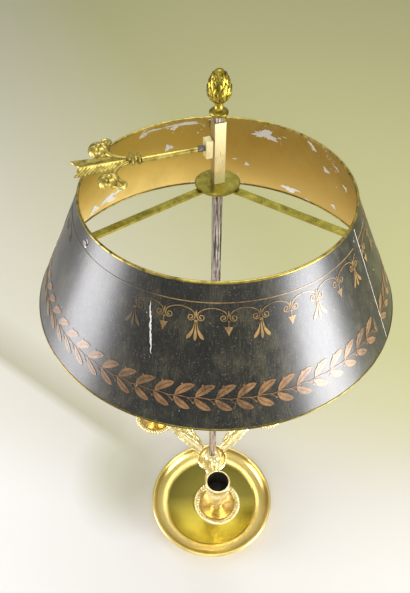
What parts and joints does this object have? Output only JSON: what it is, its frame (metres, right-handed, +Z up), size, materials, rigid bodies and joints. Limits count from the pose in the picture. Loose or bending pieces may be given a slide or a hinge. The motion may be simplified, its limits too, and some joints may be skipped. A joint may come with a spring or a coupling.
{
  "type": "bouillotte lamp",
  "caption": "Candle table lamp with a dished base, scrolled arms and a painted tole shade that slides on a square stem and is clamped by an arrow-shaped screw.",
  "frame": {"origin": "on the stem's axis at the table, under the middle of the dish", "axes": "+Z up along the stem to the finial, -Y towards the viewer and the front arm, +X to the viewer's right"},
  "size_m": [0.3316, 0.3316, 0.6724],
  "materials": {
    "dish_brass": "polished cast brass with old wiping marks",
    "column_gilt": "gilt cast brass",
    "arm_gilt": "chased and gilt cast brass",
    "nozzle_gilt": "gilt brass, burnished rims",
    "stem_steel": "drawn steel bar, browned and streaked",
    "fixing_steel": "plain dark steel",
    "finial_gilt": "bright chased gilding",
    "sleeve_brass": "pale drawn brass",
    "frame_brass": "aged olive brass",
    "shade_paint": "satin black japanned sheet metal, rubbed, with copper-gold ornament; ochre inside",
    "wire_brass": "thin brass bead, rubbed",
    "arrow_gilt": "bright gilt brass"
  },
  "bodies": {
    "stand": {"base_dish": "dish_brass", "column_foot": "column_gilt", "column_shaft": "column_gilt", "column_ring": "column_gilt", "column_cup": "column_gilt", "arm_hub": "column_gilt", "arm_front": "arm_gilt", "arm_right": "arm_gilt", "arm_left": "arm_gilt", "drip_pan_front": "nozzle_gilt", "drip_pan_right": "nozzle_gilt", "drip_pan_left": "nozzle_gilt", "candle_nozzle_front": "nozzle_gilt", "candle_nozzle_right": "nozzle_gilt", "candle_nozzle_left": "nozzle_gilt", "stem_bar": "stem_steel", "finial": "finial_gilt", "base_washer": "fixing_steel", "base_nut": "fixing_steel", "arm_stud_front": "fixing_steel", "arm_stud_right": "fixing_steel", "arm_stud_left": "fixing_steel"},
    "shade_carriage": {"slide_sleeve": "sleeve_brass", "clamp_block": "sleeve_brass", "hub_disc": "frame_brass", "spoke_back": "frame_brass", "spoke_left": "frame_brass", "spoke_right": "frame_brass", "spoke_rivets": "frame_brass", "shade_cone": "shade_paint", "shade_top_wire": "wire_brass", "shade_bottom_wire": "wire_brass"},
    "screw": {"clamp_screw": "fixing_steel"},
    "arrow_key": {"arrow_shaft": "arrow_gilt", "arrow_collar": "arrow_gilt", "arrow_feather": "arrow_gilt", "arrow_scroll_left": "arrow_gilt", "arrow_scroll_right": "arrow_gilt"}
  },
  "joints": [
    {"name": "shade_slide", "type": "slide", "parent": "stand", "child": "shade_carriage", "axis": [0, 0, 1], "range_m": [-0.41, 0.0044]},
    {"name": "screw_advance", "type": "slide", "parent": "shade_carriage", "child": "screw", "axis": [-0.9527, -0.304, 0], "range_m": [0, 0.002]},
    {"name": "arrow_turn", "type": "hinge", "parent": "screw", "child": "arrow_key", "pos_m": [-0.01677, -0.00535, 0.6081], "axis": [-0.9527, -0.304, 0], "range_deg": [0, 720]}
  ],
  "couplings": [
    {"joint": "screw_advance", "follows": "arrow_turn", "m_per_rad": 0.00015915}
  ]
}
